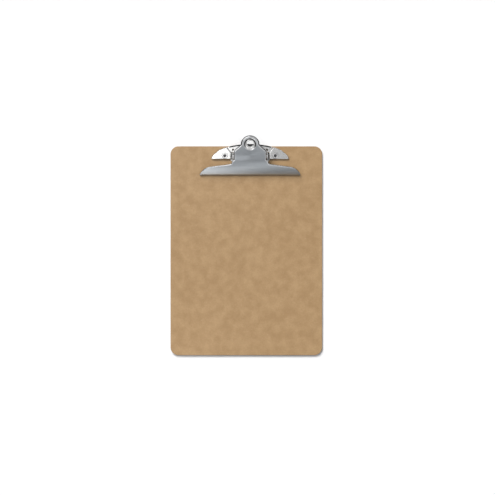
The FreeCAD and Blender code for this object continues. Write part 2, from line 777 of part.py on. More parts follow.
def build_torsion_spring(doc):
    """Double torsion spring: a coil by each ear, feet on the apron, a bridge under the lever."""
    coil = doc.addObject("PartDesign::Body", "spring_coil")
    section = body_sketch(coil, "spring_section", "XZ_Plane")
    circle(section, "spring_inner_half_width", "spring_mean_radius", "spring_wire / 2")
    helix = coil.newObject("PartDesign::AdditiveHelix", "spring_helix")
    helix.Profile = section
    helix.ReferenceAxis = (section, ["H_Axis"])
    helix.Mode = "pitch-turns-angle"
    bind(helix, Pitch="spring_pitch", Turns="spring_turns")
    turn_about_x(coil, "bridge_angle - 90 deg")
    inner, outer = "spring_inner_half_width", "spring_outer_half_width"
    bridge_y, bridge_z = "spring_bridge_reach", "bridge_rise"
    half_bridge = cylinder(doc, "spring_half_bridge", "spring_wire / 2", inner)
    half_bridge.Placement = FreeCAD.Placement(Vector(), FreeCAD.Rotation(Vector(0, 1, 0), 90))
    place(half_bridge, "0", bridge_y, bridge_z)
    right = fuse(doc, "spring_right", [
        coil,
        wire_leg(doc, "spring_bridge_leg", inner, "bridge_angle", "bridge_angle + 180 deg",
                 "bridge_leg"),
        wire_leg(doc, "spring_foot_leg", outer, "foot_angle", "foot_angle", "foot_leg"),
        wire_knob(doc, "spring_foot_tip", outer, "spring_foot_reach", "-foot_drop"),
        wire_knob(doc, "spring_bridge_corner", inner, bridge_y, bridge_z),
        half_bridge,
    ])
    spring = fuse(doc, "torsion_spring", [right, mirror(doc, "spring_left", right)])
    place_in_clip(spring, "0", "-hinge_setback", "hinge_height")
    return spring


def check(doc, pieces):
    """Stop before anything is written if an object failed or a piece isn't a sound shape."""
    for obj in doc.Objects:
        if {"Invalid", "Error"} & set(obj.State):
            raise RuntimeError(f"{obj.Label} could not be computed")
    for piece in pieces:
        if piece.Shape.isNull() or not piece.Shape.isValid():
            raise RuntimeError(f"{piece.Label} is not a valid shape")
        if len(piece.Shape.Solids) != 1:
            raise RuntimeError(f"{piece.Label} is not one solid")


def main():
    doc = new_document()
    pieces = [
        build_board(doc),
        build_base_plate(doc),
        build_clamp_plate(doc),
        build_hanging_eyelet(doc),
        build_rivet(doc, "rivet_left", "-1"),
        build_rivet(doc, "rivet_right", "1"),
        build_hinge_pin(doc),
        build_torsion_spring(doc),
    ]
    doc.recompute()
    check(doc, pieces)
    os.makedirs("parts", exist_ok=True)
    for piece in pieces:
        piece.Shape.exportStep(f"parts/{piece.Label}.step")
        print(f"{piece.Label}: {piece.Shape.Volume:.1f} mm3")


main()
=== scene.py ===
import json
import math

import bmesh
import bpy
import numpy as np
from mathutils import Matrix, Vector
from mathutils.geometry import delaunay_2d_cdt


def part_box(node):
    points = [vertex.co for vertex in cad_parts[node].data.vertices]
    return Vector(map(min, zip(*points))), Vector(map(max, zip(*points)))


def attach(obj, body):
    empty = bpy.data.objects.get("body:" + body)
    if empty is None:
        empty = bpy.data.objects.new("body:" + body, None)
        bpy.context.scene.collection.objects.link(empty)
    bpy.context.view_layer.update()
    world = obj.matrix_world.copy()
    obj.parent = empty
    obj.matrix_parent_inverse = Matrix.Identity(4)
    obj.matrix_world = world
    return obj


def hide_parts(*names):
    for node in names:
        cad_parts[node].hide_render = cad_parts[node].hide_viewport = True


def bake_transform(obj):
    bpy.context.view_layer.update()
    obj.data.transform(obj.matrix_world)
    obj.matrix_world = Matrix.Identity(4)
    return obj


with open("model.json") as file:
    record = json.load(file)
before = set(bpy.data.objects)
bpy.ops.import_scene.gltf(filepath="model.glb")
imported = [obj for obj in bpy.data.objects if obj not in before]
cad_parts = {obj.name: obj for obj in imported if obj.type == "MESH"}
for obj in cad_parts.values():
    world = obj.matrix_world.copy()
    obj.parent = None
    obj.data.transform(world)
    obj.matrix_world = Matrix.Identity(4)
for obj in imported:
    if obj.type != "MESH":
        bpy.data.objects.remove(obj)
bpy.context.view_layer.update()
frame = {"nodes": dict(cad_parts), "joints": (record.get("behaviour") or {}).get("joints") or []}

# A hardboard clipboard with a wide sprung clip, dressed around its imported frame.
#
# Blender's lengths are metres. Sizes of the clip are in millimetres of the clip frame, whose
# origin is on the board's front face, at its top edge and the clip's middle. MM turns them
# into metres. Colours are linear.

MM = 0.001
BOARD_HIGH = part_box("board")[1]
CLAMP_LOW, CLAMP_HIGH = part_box("clamp_plate")
HINGE = Vector(frame["joints"][0]["pos_m"])
CLIP = Vector((HINGE.x, BOARD_HIGH.y, BOARD_HIGH.z))


# Shapes

def rounded(corners, closed=True, step=0.6):
    """Points along straight runs with an arc in each corner (x, y, radius), a step apart."""
    corners = [Vector(corner) for corner in corners]
    count = len(corners)
    path = []
    for i, corner in enumerate(corners):
        point, radius = corner.xy, corner.z
        if radius == 0:
            path.append(point)
            continue
        back = (corners[i - 1].xy - point).normalized()
        ahead = (corners[(i + 1) % count].xy - point).normalized()
        half_angle = back.angle(ahead) / 2
        centre = point + (back + ahead).normalized() * (radius / math.sin(half_angle))
        start = point + back * (radius / math.tan(half_angle)) - centre
        turn = (math.pi - 2 * half_angle) * (1 if back.cross(ahead) < 0 else -1)
        pieces = max(3, math.ceil(abs(turn) * radius / step))
        for k in range(pieces + 1):
            path.append(centre + Matrix.Rotation(turn * k / pieces, 2) @ start)
    runs = zip(path, path[1:] + path[:1] if closed else path[1:])
    points = []
    for a, b in runs:
        pieces = max(1, round((b - a).length / step))
        points += [a.lerp(b, k / pieces) for k in range(pieces)]
    if not closed:
        points.append(path[-1])
    return np.array(points)


def smooth_step(value, low, high):
    """0 below low, 1 above high, and an even curve between."""
    t = np.clip((value - low) / (high - low), 0, 1)
    return t * t * (3 - 2 * t)


def new_object(name, data):
    """An object in the scene that carries a mesh, curve, light or camera."""
    made = bpy.data.objects.new(name, data)
    bpy.context.scene.collection.objects.link(made)
    return made


def new_piece(name, mesh, material):
    """An object with one material, whose mesh has its own name."""
    mesh.name = name
    mesh.materials.clear()
    mesh.materials.append(material)
    return new_object(name, mesh)


def turned_to(direction, track):
    """The rotation that points an object's own axis along a direction."""
    return Vector(direction).to_track_quat(track, "Y").to_euler()


# Materials

class Nodes:
    """A small hand for building a material's nodes."""

    def __init__(self, name):
        self.material = bpy.data.materials.new(name)
        self.material.use_nodes = True
        self.tree = self.material.node_tree
        self.shader = self.tree.nodes["Principled BSDF"]

    def add(self, kind, **settings):
        """A node, with its properties and input sockets set by name."""
        node = self.tree.nodes.new(f"ShaderNode{kind}")
        for name, setting in settings.items():
            if name in node.bl_rna.properties:
                setattr(node, name, setting)
            else:
                self.feed(node.inputs[name.replace("_", " ")], setting)
        return node

    def feed(self, socket, source):
        """Set a socket to a number, a colour or another node's output."""
        if isinstance(source, bpy.types.Node):
            source = source.outputs[0]
        if isinstance(source, bpy.types.NodeSocket):
            self.tree.links.new(source, socket)
        elif isinstance(source, tuple) and len(source) == 3 and socket.type == "RGBA":
            socket.default_value = (*source, 1)
        else:
            socket.default_value = source

    def place(self, scale):
        """The object's own coordinates, stretched by a scale along each axis."""
        stretch = self.add("VectorMath", operation="MULTIPLY")
        self.feed(stretch.inputs[0], self.add("TexCoord").outputs["Object"])
        stretch.inputs[1].default_value = scale
        return stretch

    def split(self, vector):
        """The X, Y and Z outputs of a vector."""
        node = self.add("SeparateXYZ")
        self.feed(node.inputs[0], vector)
        return node.outputs

    def away_from(self, x, y):
        """Distance from an upright line that stands at x, y of the clip frame."""
        node = self.add("VectorMath", operation="DISTANCE")
        self.feed(node.inputs[0], self.place((1, 1, 0)))
        node.inputs[1].default_value = (CLIP.x + x * MM, CLIP.y + y * MM, 0)
        return node.outputs["Value"]

    def noise(self, scale, detail=3.0, roughness=0.55, stretch=(1, 1, 1)):
        """Noise with a number of grains per metre."""
        node = self.add("TexNoise", Detail=detail, Roughness=roughness, Scale=1.0)
        self.feed(node.inputs["Vector"], self.place(tuple(scale * s for s in stretch)))
        return node.outputs[0]

    def ramp(self, source, low, high, bottom=0.0, top=1.0):
        """The source between low and high, mapped to bottom and top."""
        node = self.add("MapRange", From_Min=low, From_Max=high, To_Min=bottom, To_Max=top)
        self.feed(node.inputs["Value"], source)
        return node.outputs[0]

    def math(self, operation, first, second=0.0):
        node = self.add("Math", operation=operation)
        self.feed(node.inputs[0], first)
        self.feed(node.inputs[1], second)
        return node.outputs[0]

    def mix(self, factor, first, second):
        """Two colours mixed by a factor."""
        node = self.add("Mix", data_type="RGBA")
        self.feed(node.inputs[0], factor)
        self.feed(node.inputs[6], first)
        self.feed(node.inputs[7], second)
        return node.outputs[2]

    def bump(self, height, distance, strength):
        """A bump whose full height is the distance, in metres."""
        node = self.add("Bump", Strength=strength, Distance=distance)
        self.feed(node.inputs["Height"], height)
        return node.outputs[0]

    def finish(self, **sockets):
        """Feed the shader's sockets, and give the finished material."""
        for name, source in sockets.items():
            self.feed(self.shader.inputs[name.replace("_", " ")], source)
        return self.material


# Places where shade and dark reflection are painted, in millimetres of the clip frame: the base
# plate's rear edge, the channel outside each ear, and the board under the relief holes. A pair
# says where the dark begins and where it is full. The channel is the gap outside each ear,
# painted dark as shade.
REAR_BULGE = 3.4                 # how far the rear edge's arc reaches past the board's edge
REAR_ARC = 134.0                 # radius of that arc
REAR_LIP = (2.0, 1.6)            # distance inside the arc
REAR_HALF_WIDTH = (31.6, 31.0)
RELIEF_HOLE_X, RELIEF_HOLE_Y = 25.6, -5.2
RELIEF_HOLE_RADIUS = (2.2, 1.6)
CHANNEL_INSIDE = (26.2, 26.5)
CHANNEL_OUTSIDE = (28.4, 28.1)
CHANNEL_REAR = (-9.0, -9.6)
CHANNEL_FRONT = (-22.0, -21.0)
CHANNEL_DEPTH = (1.9, 1.5)


def fibre(n):
    """Clouds, pulp and two crossing sets of fibres, which the board's colour and relief share."""
    return (n.noise(75, detail=5),
            n.noise(420, detail=6, roughness=0.7),
            n.noise(900, detail=4, roughness=0.75, stretch=(0.22, 1.0, 1.0)),
            n.noise(900, detail=4, roughness=0.75, stretch=(1.0, 0.25, 1.0)))


def press_screen(n):
    """The weave that the press leaves on the board's back."""
    bands = [n.add("TexWave", wave_type="BANDS", bands_direction=axis, wave_profile="SIN",
                   Scale=1.0, Distortion=1.2, Detail=1.5, Detail_Scale=1.5)
             for axis in ("X", "Y")]
    for wave in bands:
        n.feed(wave.inputs["Vector"], n.place((240, 240, 240)))
    return n.math("MULTIPLY", bands[0], bands[1])


def hardboard():
    """Pressed wood fibre: a smooth face, a back with the press screen's weave, a darker edge."""
    n = Nodes("hardboard")
    facing = n.split(n.add("NewGeometry").outputs["Normal"])["Z"]
    front = n.ramp(facing, 0.6, 0.9)
    back = n.ramp(facing, -0.6, -0.9)
    sides = n.math("SUBTRACT", 1.0, n.math("ADD", front, back))
    clouds, pulp, fibre_long, fibre_cross = fibre(n)
    either_fibre = n.math("MAXIMUM", fibre_long, fibre_cross)
    both_fibres = n.math("MINIMUM", fibre_long, fibre_cross)

    dark_tan, pale_tan = (0.367, 0.230, 0.110), (0.440, 0.287, 0.146)
    colour = n.mix(n.ramp(clouds, 0.35, 0.65), dark_tan, pale_tan)
    colour = n.mix(n.ramp(pulp, 0.42, 0.80, 0.0, 0.42), colour, (0.30, 0.185, 0.088))
    colour = n.mix(n.ramp(either_fibre, 0.60, 0.78, 0.0, 0.55), colour, (0.205, 0.118, 0.052))
    colour = n.mix(n.ramp(both_fibres, 0.40, 0.24, 0.0, 0.50), colour, (0.56, 0.42, 0.265))

    layers = n.noise(700, detail=5, roughness=0.7, stretch=(0.12, 0.12, 3.0))
    dark_layer, pale_layer = (0.135, 0.078, 0.036), (0.34, 0.215, 0.112)
    colour = n.mix(sides, colour, n.mix(layers, dark_layer, pale_layer))

    # Painted shade: the board is darkened where it shows through the base plate's relief holes.
    shade_start, full = RELIEF_HOLE_RADIUS
    for x in (-RELIEF_HOLE_X, RELIEF_HOLE_X):
        hole_shade = n.ramp(n.away_from(x, RELIEF_HOLE_Y), shade_start * MM, full * MM, 0.0, 0.9)
        colour = n.mix(hole_shade, colour, (0.02, 0.014, 0.01))

    screen = press_screen(n)
    dark_weave, pale_weave = (0.225, 0.135, 0.066), (0.345, 0.222, 0.118)
    colour = n.mix(back, colour, n.mix(screen, dark_weave, pale_weave))

    roughness = n.ramp(pulp, 0.2, 0.8, 0.36, 0.52)
    roughness = n.math("ADD", roughness, n.math("MULTIPLY", 0.28, n.math("ADD", sides, back)))
    relief = n.math("ADD", n.math("MULTIPLY", pulp, 0.5), n.math("MULTIPLY", either_fibre, 0.5))
    screen_bump = n.bump(n.math("MULTIPLY", screen, back), 0.5 * MM, 0.9)
    n.feed(screen_bump.node.inputs["Normal"], n.bump(relief, 0.06 * MM, 0.6))
    return n.finish(Base_Color=colour, Roughness=roughness, Normal=screen_bump,
                    Specular_IOR_Level=0.35, Coat_Weight=0.05, Coat_Roughness=0.28)


def brushed_steel():
    """Satin steel with a fine grain that runs across the clip.

    It reads from the mesh's attributes where the clamp is polished and where dark reflection and
    shade are painted on it.
    """
    n = Nodes("brushed_clamp_steel")
    polish = n.add("Attribute", attribute_name="polish").outputs["Fac"]
    dark_band = n.add("Attribute", attribute_name="painted_dark_band").outputs["Fac"]
    grain = n.noise(6500, detail=3, roughness=0.6, stretch=(0.012, 1.0, 1.0))
    coarse = n.noise(1500, detail=2, roughness=0.5, stretch=(0.015, 1.0, 1.0))
    clouds = n.noise(60, detail=3)
    handled = n.noise(210, detail=5, roughness=0.65)
    streaks = n.math("ADD", n.math("MULTIPLY", grain, 0.65), n.math("MULTIPLY", coarse, 0.35))

    colour = n.mix(n.ramp(streaks, 0.3, 0.7), (0.31, 0.335, 0.355), (0.455, 0.475, 0.495))
    colour = n.mix(n.ramp(clouds, 0.3, 0.7, 0.0, 0.35), colour, (0.345, 0.37, 0.395))
    polished_colour = n.mix(handled, (0.70, 0.71, 0.72), (0.80, 0.80, 0.80))
    colour = n.mix(polish, colour, polished_colour)
    # Near black: painted dark reflection low on the rim, and painted shade on the dish's rear
    # wall.
    colour = n.mix(dark_band, colour, (0.035, 0.035, 0.04))

    satin = n.ramp(streaks, 0.25, 0.75, 0.27, 0.40)
    satin = n.math("ADD", satin, n.ramp(handled, 0.45, 0.75, 0.0, 0.06))
    satin = n.math("MULTIPLY", satin, n.math("SUBTRACT", 1.0, polish))
    bright = n.math("MULTIPLY", n.ramp(handled, 0.3, 0.7, 0.12, 0.18), polish)
    return n.finish(Base_Color=colour, Metallic=1.0, Roughness=n.math("ADD", satin, bright),
                    Anisotropic=0.55, Normal=n.bump(streaks, 0.02 * MM, 0.5))


def plated(name, colour, roughness, wear, shade_spots=(), paint_dark_edges=False):
    """Bright metal with faint haze, rolling lines and scuffs.

    Each shade spot is a place, its radius and its fading width in millimetres of the clip frame,
    and how dark it is; it paints shade onto the colour. The spots show in front of the board's
    middle only. The last argument paints a dark reflection along the base plate's rear edge and
    shade beside its ears.
    """
    n = Nodes(name)
    haze = n.noise(130, detail=4)
    scuffs = n.noise(2400, detail=4, roughness=0.7, stretch=(0.05, 1.0, 1.0))
    pits = n.noise(3200, detail=2)
    shade = n.mix(n.ramp(haze, 0.35, 0.75, 0.0, 0.6), colour, tuple(c * 0.86 for c in colour))
    rough = n.ramp(haze, 0.3, 0.7, roughness, roughness + 0.05)
    rough = n.math("ADD", rough, n.ramp(scuffs, 0.60, 0.80, 0.0, wear))
    height = n.split(n.place((1, 1, 1)))["Z"]
    in_front = n.ramp(height, BOARD_HIGH.z * 0.45, BOARD_HIGH.z * 0.5)
    # Each spot is painted shade: the colour darkens towards its middle.
    for (x, y), radius, fading, strength in shade_spots:
        shade_spot = n.ramp(n.away_from(x, y), (radius + fading) * MM, radius * MM, 0.0, strength)
        shade_spot = n.math("MULTIPLY", shade_spot, in_front)
        shade = n.mix(shade_spot, shade, (0.03, 0.03, 0.033))
        rough = n.math("ADD", rough, n.math("MULTIPLY", shade_spot, 0.25))
    # Painted dark reflection on the rear edge's lip, and painted shade in the channels beside the
    # ears.
    if paint_dark_edges:
        shade = n.mix(painted_dark_edges(n), shade, (0.012, 0.012, 0.014))
    relief = n.math("ADD", scuffs, n.math("MULTIPLY", pits, 0.4))
    return n.finish(Base_Color=shade, Metallic=1.0, Roughness=rough,
                    Normal=n.bump(relief, 0.01 * MM, 0.35))


def painted_dark_edges(n):
    """1 where dark is painted on the base plate: a painted dark reflection along the rear edge's
    lip, and painted shade in the channel outside each ear.
    """
    def across(limits, source, origin=0.0):
        """0 to 1 as the source passes from the first limit to the second."""
        low, high = limits
        return n.ramp(source, origin + low * MM, origin + high * MM)

    x, y, z = n.split(n.place((1, 1, 1)))
    from_middle = n.math("ABSOLUTE", n.math("SUBTRACT", x, CLIP.x))
    to_arc = n.away_from(0, REAR_BULGE - REAR_ARC)
    lip_start, lip_full = REAR_LIP
    edge = n.ramp(to_arc, (REAR_ARC - lip_start) * MM, (REAR_ARC - lip_full) * MM)
    edge = n.math("MULTIPLY", edge, across(REAR_HALF_WIDTH, from_middle))
    channel = across(CHANNEL_INSIDE, from_middle)
    for limit in (across(CHANNEL_OUTSIDE, from_middle),
                  across(CHANNEL_REAR, y, CLIP.y),
                  across(CHANNEL_FRONT, y, CLIP.y),
                  across(CHANNEL_DEPTH, z, CLIP.z)):
        channel = n.math("MULTIPLY", channel, limit)
    return n.math("MAXIMUM", edge, n.math("MULTIPLY", channel, 0.9))


def floor_paper():
    """Plain white studio paper."""
    n = Nodes("studio_floor")
    return n.finish(Base_Color=(0.93, 0.93, 0.93), Roughness=0.8, Specular_IOR_Level=0.1)


# The clamp: jaw, neck and lever pressed from one sheet, in millimetres of the clip frame

SHEET = 1.0
RIM_DEPTH = 3.5
PIN_SETBACK = (CLIP.y - HINGE.y) / MM
PIN_HEIGHT = (HINGE.z - CLIP.z) / MM
JAW_FRONT = (CLIP.y - CLAMP_LOW.y) / MM
JAW_CORNER = 76.7                # where the jaw's slanted ends meet its front edge
JAW_EDGE = (CLAMP_LOW.z - CLIP.z) / MM
NECK_HALF_WIDTH = 24.6
EAR_RADIUS = 5.0
EAR_FRONT = -21.0
LEVER_TIP = (CLAMP_HIGH.y - CLIP.y) / MM
LEVER_HALF_WIDTH = 13.8
EYELET_OVERHANG = 3.1            # the eyelet's axis, past the board's edge
DISH_DEPTH = 0.9
DISH_FLOOR_RADIUS = 8.1
DISH_RADIUS = 9.7
DISH_HOLE_RADIUS = 6.2

# Corners of the side view: distance behind the pin, height over the board, radius of the bend.
SIDE_CORNERS = (
    (-31.0, 1.03, 0),            # jaw's front edge
    (-19.5, 12.4, 38.0),         # top of the jaw
    (-8.5, 17.2, 24.0),          # front of the neck
    (5.5, 18.6, 60.0),           # foot of the lever
    (32.0, 26.95, 0),            # past the lever's tip
)

# The rim's bend: its outer radius, what it gains elsewhere, and its tight start at the corners.
BEND_RADIUS = 1.9
BEND_GAIN_AT_LEVER = 1.0
BEND_GAIN_AT_JAW = 0.6
BEND_AT_CORNER = 0.95
SMALLEST_FOLD = 0.02
LOWEST_WALL = 0.2

# How finely the mesh is divided.
WALL_STEPS = 5
BEND_STEPS = 9
BORDER = 0.4
DISH_SPOKES = 72
DISH_RING_STEP = 0.22
GRID_STEPS = (1.5, 0.9)


def clamp_outline():
    """The clamp's outline seen from the front, counterclockwise."""
    tip_cut = LEVER_HALF_WIDTH * math.tan(math.pi / 8)
    right = [
        (JAW_CORNER, -JAW_FRONT, 1.0),
        (71.3, -32.1, 20.0),
        (27.7, -26.7, 3.5),
        (27.7, EAR_FRONT, 2.3),
        (NECK_HALF_WIDTH, EAR_FRONT, 0.5),
        (NECK_HALF_WIDTH, -7.6, 4.0),
        (LEVER_HALF_WIDTH, 3.0, 3.4),
        (LEVER_HALF_WIDTH, LEVER_TIP - LEVER_HALF_WIDTH + tip_cut, 8.4),
        (tip_cut, LEVER_TIP, LEVER_HALF_WIDTH * 0.99),
    ]
    return rounded(right + [(-x, y, radius) for x, y, radius in reversed(right)])


def clamp_side():
    """Places and heights of the clamp's upper surface along its length."""
    corners = [(y - PIN_SETBACK, z, radius) for y, z, radius in SIDE_CORNERS]
    return rounded(corners, closed=False, step=0.3).T


SIDE_Y, SIDE_Z = clamp_side()
LEVER_SLOPE = math.atan2(SIDE_Z[-1] - SIDE_Z[-20], SIDE_Y[-1] - SIDE_Y[-20])


def from_eyelet(x, y):
    """Distance from the eyelet's axis, along the lever's surface."""
    return np.hypot(x, (y - EYELET_OVERHANG) / math.cos(LEVER_SLOPE))


def from_jaw_corner(x, y):
    """Distance in plan from the nearer corner of the jaw."""
    return np.hypot(np.abs(x) - JAW_CORNER, y + JAW_FRONT)


def clamp_height(x, y):
    """Upper surface, with the dish round the eyelet pressed in."""
    dish = 1 - smooth_step(from_eyelet(x, y), DISH_FLOOR_RADIUS, DISH_RADIUS)
    return np.interp(y, SIDE_Y, SIDE_Z) - DISH_DEPTH * dish


def sheet_drop(y):
    """How far below the upper surface the underside is, straight down."""
    rise = np.interp(y + 0.5, SIDE_Y, SIDE_Z) - np.interp(y - 0.5, SIDE_Y, SIDE_Z)
    return SHEET * np.hypot(1, rise)


def rim_bottom(x, y):
    """Lower edge of the rim: an even depth, the jaw's edge in front, and the ears on the pin."""
    bottom = np.maximum(clamp_height(x, y) - RIM_DEPTH, JAW_EDGE)
    along = np.clip((y + PIN_SETBACK) / EAR_RADIUS, -1, 1)
    ear = PIN_HEIGHT - EAR_RADIUS * np.sqrt(1 - along ** 2)
    on_ear = (np.abs(along) < 1) & (np.abs(x) > NECK_HALF_WIDTH - 0.5)
    return np.where(on_ear, np.minimum(bottom, ear), bottom)


def bend_radius(x, y):
    """Outer radius of the folded rim: tight at the jaw's corners, open round the lever."""
    at_lever = BEND_GAIN_AT_LEVER * smooth_step(y, -8, 1)
    at_jaw = BEND_GAIN_AT_JAW * smooth_step(-y, JAW_FRONT - 2, JAW_FRONT)
    near_corner = BEND_AT_CORNER + 0.45 * from_jaw_corner(x, y)
    return np.minimum(BEND_RADIUS + at_lever + at_jaw, near_corner)


def clamp_skin(outline, inward, inside):
    """Rings of points from the rim's lower edge, over the bend, to where the face begins."""
    x, y = outline.T
    bend = bend_radius(x, y)
    fold = np.maximum(bend - SHEET, SMALLEST_FOLD) if inside else bend

    def ring(inset, depth):
        """The outline moved inward, at a depth below the upper surface."""
        plan = outline + inward * inset[:, None]
        return np.column_stack([plan, clamp_height(*plan.T) - depth])

    foot = outline + inward * (bend - fold)[:, None]
    start = clamp_height(x, y) - bend
    bottom = np.minimum(rim_bottom(x, y), start - LOWEST_WALL)
    rings = [np.column_stack([foot, bottom + (start - bottom) * k / WALL_STEPS])
             for k in range(WALL_STEPS)]
    for k in range(BEND_STEPS + 1):
        angle = math.pi / 2 * k / BEND_STEPS
        inset = bend - fold * math.cos(angle)
        depth = bend - fold * math.sin(angle)
        if inside:
            drop = sheet_drop((outline + inward * inset[:, None])[:, 1])
            depth = depth + (drop - SHEET) * k / BEND_STEPS
        rings.append(ring(inset, depth))
    inset = bend + np.minimum(BORDER, 0.12 * from_jaw_corner(x, y))
    drop = sheet_drop((outline + inward * inset[:, None])[:, 1]) if inside else 0
    rings.append(ring(inset, drop))
    return rings


def face_plan(ring):
    """Plan points and triangles inside the last ring: a close grid, and rounds in the dish.

    The sources say which of the given points each point of the result stands for.
    """
    count = len(ring)
    centre = np.array([0, EYELET_OVERHANG])
    squeeze = np.array([1, math.cos(LEVER_SLOPE)])
    angles = np.linspace(0, 2 * math.pi, DISH_SPOKES, endpoint=False)
    spokes = np.column_stack([np.cos(angles), np.sin(angles)]) * squeeze
    radii = np.arange(DISH_HOLE_RADIUS, DISH_RADIUS + 0.6, DISH_RING_STEP)
    dish = np.concatenate([centre + spokes * radius for radius in radii])
    across, along = np.meshgrid(np.arange(-JAW_CORNER, JAW_CORNER, GRID_STEPS[0]),
                                np.arange(-JAW_FRONT, LEVER_TIP, GRID_STEPS[1]))
    grid = np.column_stack([across.ravel(), along.ravel()])
    to_ring = np.hypot(grid[:, None, 0] - ring[None, :, 0], grid[:, None, 1] - ring[None, :, 1])
    clear = to_ring.min(axis=1) > 0.5
    clear &= np.hypot(*(grid - centre).T) > DISH_RADIUS + 0.7
    flat = [Vector(p) for p in np.concatenate([ring[:, :2], dish, grid[clear]])]
    edges = [(i, (i + 1) % count) for i in range(count)]
    inside_ring, tolerance = 1, 1e-5
    found, _, triangles, sources = delaunay_2d_cdt(flat, edges, [], inside_ring, tolerance)[:4]
    return found, triangles, sources


def add_face(points, first, count):
    """Add the face's points to both skins, and give the triangles outside the eyelet's hole.

    The last ring's points, count of them, are already in the skins, from the one numbered first.
    """
    found, triangles, sources = face_plan(points[0][first:])
    number = {}
    extra = []
    for new, olds in enumerate(sources):
        on_ring = [old for old in olds if old < count]
        if on_ring:
            number[new] = first + on_ring[0]
        else:
            number[new] = len(points[0]) + len(extra)
            extra.append((found[new].x, found[new].y))
    x, y = np.array(extra).T
    height = clamp_height(x, y)
    points[0] = np.concatenate([points[0], np.column_stack([x, y, height])])
    points[1] = np.concatenate([points[1], np.column_stack([x, y, height - sheet_drop(y)])])
    kept = []
    for triangle in triangles:
        middle = sum((found[i] for i in triangle), Vector((0, 0))) / 3
        if from_eyelet(middle.x, middle.y) > DISH_HOLE_RADIUS * 0.995:
            kept.append(tuple(number[i] for i in triangle))
    return kept


def ring_faces(ring_count, count):
    """Quads between each ring of points and the next."""
    faces = []
    for low in range(0, (ring_count - 1) * count, count):
        for i in range(count):
            j = (i + 1) % count
            faces.append((low + i, low + j, low + count + j, low + count + i))
    return faces


def closed_sheet(faces, total):
    """The faces of one skin, of the other one turned over, and the strip that joins them."""
    edge_uses = {}
    for face in faces:
        for a, b in zip(face, face[1:] + face[:1]):
            edge_uses.setdefault(frozenset((a, b)), []).append((a, b))
    border = [uses[0] for uses in edge_uses.values() if len(uses) == 1]
    other_side = [tuple(total + i for i in reversed(face)) for face in faces]
    strip = [(b, a, total + a, total + b) for a, b in border]
    return faces + other_side + strip


def polish(points, on_rings):
    """1 where the metal is bright: the rim of neck and lever, and the dish."""
    in_dish = smooth_step(-from_eyelet(*points[:, :2].T), -DISH_RADIUS - 0.3, -DISH_RADIUS)
    on_rim = smooth_step(points[:, 1], -38, -24)
    return np.where(np.arange(len(points)) < on_rings, on_rim, in_dish)


def painted_dark_band(points, count):
    """1 where dark is painted: a painted dark reflection low on the rim of neck and lever, and
    painted shade on the dish's rear wall.
    """
    x, y = points[:, 0], points[:, 1]
    along_bend = (np.arange(len(points)) // count - WALL_STEPS) / BEND_STEPS
    low_on_rim = np.interp(along_bend, (-0.25, 0, 0.55, 0.75), (0.35, 1, 1, 0))
    low_on_rim = low_on_rim * smooth_step(y, -22, -20)
    radius = from_eyelet(x, y)
    wall = (DISH_FLOOR_RADIUS - 1.0, DISH_FLOOR_RADIUS - 0.6, DISH_RADIUS - 1.0,
            DISH_RADIUS - 0.5)
    on_wall = np.interp(radius, wall, (0, 1, 1, 0))
    to_front = (EYELET_OVERHANG - y) / np.maximum(radius, 1)
    return np.maximum(low_on_rim, on_wall * (1 - smooth_step(to_front, 0.3, 0.75)))


def store(piece, name, values):
    """Keep one number for each point of a piece, for its material to read."""
    attribute = piece.data.attributes.new(name, "FLOAT", "POINT")
    attribute.data.foreach_set("value", values.astype(np.float32))


def build_clamp(material):
    """The clamp plate as one closed sheet with an outer and an inner skin."""
    outline = clamp_outline()
    count = len(outline)
    tangent = np.roll(outline, -1, axis=0) - np.roll(outline, 1, axis=0)
    tangent /= np.linalg.norm(tangent, axis=1)[:, None]
    inward = np.stack([-tangent[:, 1], tangent[:, 0]], axis=1)
    skins = [clamp_skin(outline, inward, inside) for inside in (False, True)]
    points = [np.concatenate(skin) for skin in skins]
    ring_count = len(skins[0])
    last_ring = (ring_count - 1) * count
    faces = ring_faces(ring_count, count)
    faces += add_face(points, last_ring, count)
    faces = closed_sheet(faces, len(points[0]))

    mesh = bpy.data.meshes.new("clamp_sheet")
    mesh.from_pydata([tuple(CLIP + Vector(p) * MM) for skin in points for p in skin], [], faces)
    mesh.validate()
    mesh.shade_smooth()
    mesh.set_sharp_from_angle(angle=math.radians(40))
    clamp = new_piece("clamp_sheet", mesh, material)
    store(clamp, "polish", np.tile(polish(points[0], last_ring), 2))
    store(clamp, "painted_dark_band", np.tile(painted_dark_band(points[0], count), 2))
    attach(clamp, "clamp")
    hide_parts("clamp_plate")


# The torsion spring, in millimetres from the pin's middle

WIRE = 1.8
COIL_RADIUS = 3.5
COIL_PITCH = 1.84
COIL_END = 22.0
WHOLE_TURNS = 6
STEPS_PER_TURN = 28
ELBOW_STEPS = 5
FOOT = Vector((10.6, -8.95))     # y and z of the leg's end on the base plate
BRIDGE = Vector((9.0, 6.67))     # y and z of the bar that pushes the lever up


def leg_angle(end, sign):
    """Where on the coil, seen from its end, a straight leg to a point starts."""
    return math.atan2(end.y, end.x) + sign * math.acos(COIL_RADIUS / end.length)


